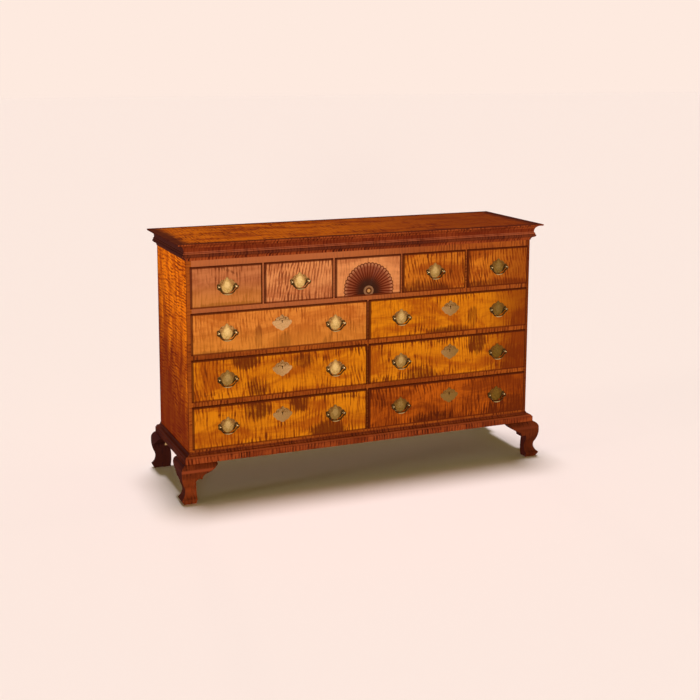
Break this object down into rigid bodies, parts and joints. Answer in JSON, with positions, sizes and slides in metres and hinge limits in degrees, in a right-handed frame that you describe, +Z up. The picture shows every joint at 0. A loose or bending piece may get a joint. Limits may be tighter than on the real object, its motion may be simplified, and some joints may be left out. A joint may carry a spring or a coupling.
{
  "type": "long chest of drawers",
  "caption": "Long chest of lipped drawers on ogee bracket feet, with a cove cornice, a fan-carved centre drawer and swinging bail pulls on scalloped plates.",
  "frame": {"origin": "centre of the footprint on the floor, under the feet", "axes": "+X to the right across the width, +Y to the back (the drawers face -Y), +Z up"},
  "size_m": [1.7466, 0.5383, 1.115],
  "materials": {
    "maple_case": "satin varnish over figured maple",
    "maple_front": "satin varnish over figured maple",
    "secondary_wood": "planed and unfinished",
    "brass": "antique polished"
  },
  "bodies": {
    "carcass": {"case_sides": "maple_case", "top_board": "maple_case", "cornice_moulding": "maple_case", "drawer_rails": "maple_case", "drawer_dividers": "maple_case", "drawer_runners": "secondary_wood", "case_bottom": "secondary_wood", "back_boards": "secondary_wood", "base_moulding": "maple_case", "front_feet": "maple_case", "rear_feet": "maple_case", "foot_blocks": "secondary_wood"},
    "top_drawer_1": {"top_drawer_1_front": "maple_front", "top_drawer_1_box": "secondary_wood", "top_drawer_1_brasses": "brass"},
    "top_drawer_1_bail": {"top_drawer_1_bail": "brass"},
    "top_drawer_2": {"top_drawer_2_front": "maple_front", "top_drawer_2_box": "secondary_wood", "top_drawer_2_brasses": "brass"},
    "top_drawer_2_bail": {"top_drawer_2_bail": "brass"},
    "top_drawer_3": {"top_drawer_3_front": "maple_front", "top_drawer_3_box": "secondary_wood"},
    "top_drawer_4": {"top_drawer_4_front": "maple_front", "top_drawer_4_box": "secondary_wood", "top_drawer_4_brasses": "brass"},
    "top_drawer_4_bail": {"top_drawer_4_bail": "brass"},
    "top_drawer_5": {"top_drawer_5_front": "maple_front", "top_drawer_5_box": "secondary_wood", "top_drawer_5_brasses": "brass"},
    "top_drawer_5_bail": {"top_drawer_5_bail": "brass"},
    "upper_left_drawer": {"upper_left_drawer_front": "maple_front", "upper_left_drawer_box": "secondary_wood", "upper_left_drawer_brasses": "brass"},
    "upper_left_drawer_bail_left": {"upper_left_drawer_bail_left": "brass"},
    "upper_left_drawer_bail_right": {"upper_left_drawer_bail_right": "brass"},
    "upper_right_drawer": {"upper_right_drawer_front": "maple_front", "upper_right_drawer_box": "secondary_wood", "upper_right_drawer_brasses": "brass"},
    "upper_right_drawer_bail_left": {"upper_right_drawer_bail_left": "brass"},
    "upper_right_drawer_bail_right": {"upper_right_drawer_bail_right": "brass"},
    "middle_left_drawer": {"middle_left_drawer_front": "maple_front", "middle_left_drawer_box": "secondary_wood", "middle_left_drawer_brasses": "brass"},
    "middle_left_drawer_bail_left": {"middle_left_drawer_bail_left": "brass"},
    "middle_left_drawer_bail_right": {"middle_left_drawer_bail_right": "brass"},
    "middle_right_drawer": {"middle_right_drawer_front": "maple_front", "middle_right_drawer_box": "secondary_wood", "middle_right_drawer_brasses": "brass"},
    "middle_right_drawer_bail_left": {"middle_right_drawer_bail_left": "brass"},
    "middle_right_drawer_bail_right": {"middle_right_drawer_bail_right": "brass"},
    "lower_left_drawer": {"lower_left_drawer_front": "maple_front", "lower_left_drawer_box": "secondary_wood", "lower_left_drawer_brasses": "brass"},
    "lower_left_drawer_bail_left": {"lower_left_drawer_bail_left": "brass"},
    "lower_left_drawer_bail_right": {"lower_left_drawer_bail_right": "brass"},
    "lower_right_drawer": {"lower_right_drawer_front": "maple_front", "lower_right_drawer_box": "secondary_wood", "lower_right_drawer_brasses": "brass"},
    "lower_right_drawer_bail_left": {"lower_right_drawer_bail_left": "brass"},
    "lower_right_drawer_bail_right": {"lower_right_drawer_bail_right": "brass"}
  },
  "joints": [
    {"name": "top_drawer_1_slide", "type": "slide", "parent": "carcass", "child": "top_drawer_1", "axis": [0, -1, 0], "range_m": [0, 0.33]},
    {"name": "top_drawer_1_bail_hinge", "type": "hinge", "parent": "top_drawer_1", "child": "top_drawer_1_bail", "pos_m": [-0.6528, -0.2435, 0.9235], "axis": [-1, 0, 0], "range_deg": [-12, 192]},
    {"name": "top_drawer_2_slide", "type": "slide", "parent": "carcass", "child": "top_drawer_2", "axis": [0, -1, 0], "range_m": [0, 0.33]},
    {"name": "top_drawer_2_bail_hinge", "type": "hinge", "parent": "top_drawer_2", "child": "top_drawer_2_bail", "pos_m": [-0.3264, -0.2435, 0.9235], "axis": [-1, 0, 0], "range_deg": [-12, 192]},
    {"name": "top_drawer_3_slide", "type": "slide", "parent": "carcass", "child": "top_drawer_3", "axis": [0, -1, 0], "range_m": [0, 0.33]},
    {"name": "top_drawer_4_slide", "type": "slide", "parent": "carcass", "child": "top_drawer_4", "axis": [0, -1, 0], "range_m": [0, 0.33]},
    {"name": "top_drawer_4_bail_hinge", "type": "hinge", "parent": "top_drawer_4", "child": "top_drawer_4_bail", "pos_m": [0.3264, -0.2435, 0.9235], "axis": [-1, 0, 0], "range_deg": [-12, 192]},
    {"name": "top_drawer_5_slide", "type": "slide", "parent": "carcass", "child": "top_drawer_5", "axis": [0, -1, 0], "range_m": [0, 0.33]},
    {"name": "top_drawer_5_bail_hinge", "type": "hinge", "parent": "top_drawer_5", "child": "top_drawer_5_bail", "pos_m": [0.6528, -0.2435, 0.9235], "axis": [-1, 0, 0], "range_deg": [-12, 192]},
    {"name": "upper_left_drawer_slide", "type": "slide", "parent": "carcass", "child": "upper_left_drawer", "axis": [0, -1, 0], "range_m": [0, 0.33]},
    {"name": "upper_left_drawer_bail_left_hinge", "type": "hinge", "parent": "upper_left_drawer", "child": "upper_left_drawer_bail_left", "pos_m": [-0.656, -0.2435, 0.7245], "axis": [-1, 0, 0], "range_deg": [-12, 192]},
    {"name": "upper_left_drawer_bail_right_hinge", "type": "hinge", "parent": "upper_left_drawer", "child": "upper_left_drawer_bail_right", "pos_m": [-0.16, -0.2435, 0.7245], "axis": [-1, 0, 0], "range_deg": [-12, 192]},
    {"name": "upper_right_drawer_slide", "type": "slide", "parent": "carcass", "child": "upper_right_drawer", "axis": [0, -1, 0], "range_m": [0, 0.33]},
    {"name": "upper_right_drawer_bail_left_hinge", "type": "hinge", "parent": "upper_right_drawer", "child": "upper_right_drawer_bail_left", "pos_m": [0.16, -0.2435, 0.7245], "axis": [-1, 0, 0], "range_deg": [-12, 192]},
    {"name": "upper_right_drawer_bail_right_hinge", "type": "hinge", "parent": "upper_right_drawer", "child": "upper_right_drawer_bail_right", "pos_m": [0.656, -0.2435, 0.7245], "axis": [-1, 0, 0], "range_deg": [-12, 192]},
    {"name": "middle_left_drawer_slide", "type": "slide", "parent": "carcass", "child": "middle_left_drawer", "axis": [0, -1, 0], "range_m": [0, 0.33]},
    {"name": "middle_left_drawer_bail_left_hinge", "type": "hinge", "parent": "middle_left_drawer", "child": "middle_left_drawer_bail_left", "pos_m": [-0.656, -0.2435, 0.5225], "axis": [-1, 0, 0], "range_deg": [-12, 192]},
    {"name": "middle_left_drawer_bail_right_hinge", "type": "hinge", "parent": "middle_left_drawer", "child": "middle_left_drawer_bail_right", "pos_m": [-0.16, -0.2435, 0.5225], "axis": [-1, 0, 0], "range_deg": [-12, 192]},
    {"name": "middle_right_drawer_slide", "type": "slide", "parent": "carcass", "child": "middle_right_drawer", "axis": [0, -1, 0], "range_m": [0, 0.33]},
    {"name": "middle_right_drawer_bail_left_hinge", "type": "hinge", "parent": "middle_right_drawer", "child": "middle_right_drawer_bail_left", "pos_m": [0.16, -0.2435, 0.5225], "axis": [-1, 0, 0], "range_deg": [-12, 192]},
    {"name": "middle_right_drawer_bail_right_hinge", "type": "hinge", "parent": "middle_right_drawer", "child": "middle_right_drawer_bail_right", "pos_m": [0.656, -0.2435, 0.5225], "axis": [-1, 0, 0], "range_deg": [-12, 192]},
    {"name": "lower_left_drawer_slide", "type": "slide", "parent": "carcass", "child": "lower_left_drawer", "axis": [0, -1, 0], "range_m": [0, 0.33]},
    {"name": "lower_left_drawer_bail_left_hinge", "type": "hinge", "parent": "lower_left_drawer", "child": "lower_left_drawer_bail_left", "pos_m": [-0.656, -0.2435, 0.317], "axis": [-1, 0, 0], "range_deg": [-12, 192]},
    {"name": "lower_left_drawer_bail_right_hinge", "type": "hinge", "parent": "lower_left_drawer", "child": "lower_left_drawer_bail_right", "pos_m": [-0.16, -0.2435, 0.317], "axis": [-1, 0, 0], "range_deg": [-12, 192]},
    {"name": "lower_right_drawer_slide", "type": "slide", "parent": "carcass", "child": "lower_right_drawer", "axis": [0, -1, 0], "range_m": [0, 0.33]},
    {"name": "lower_right_drawer_bail_left_hinge", "type": "hinge", "parent": "lower_right_drawer", "child": "lower_right_drawer_bail_left", "pos_m": [0.16, -0.2435, 0.317], "axis": [-1, 0, 0], "range_deg": [-12, 192]},
    {"name": "lower_right_drawer_bail_right_hinge", "type": "hinge", "parent": "lower_right_drawer", "child": "lower_right_drawer_bail_right", "pos_m": [0.656, -0.2435, 0.317], "axis": [-1, 0, 0], "range_deg": [-12, 192]}
  ]
}
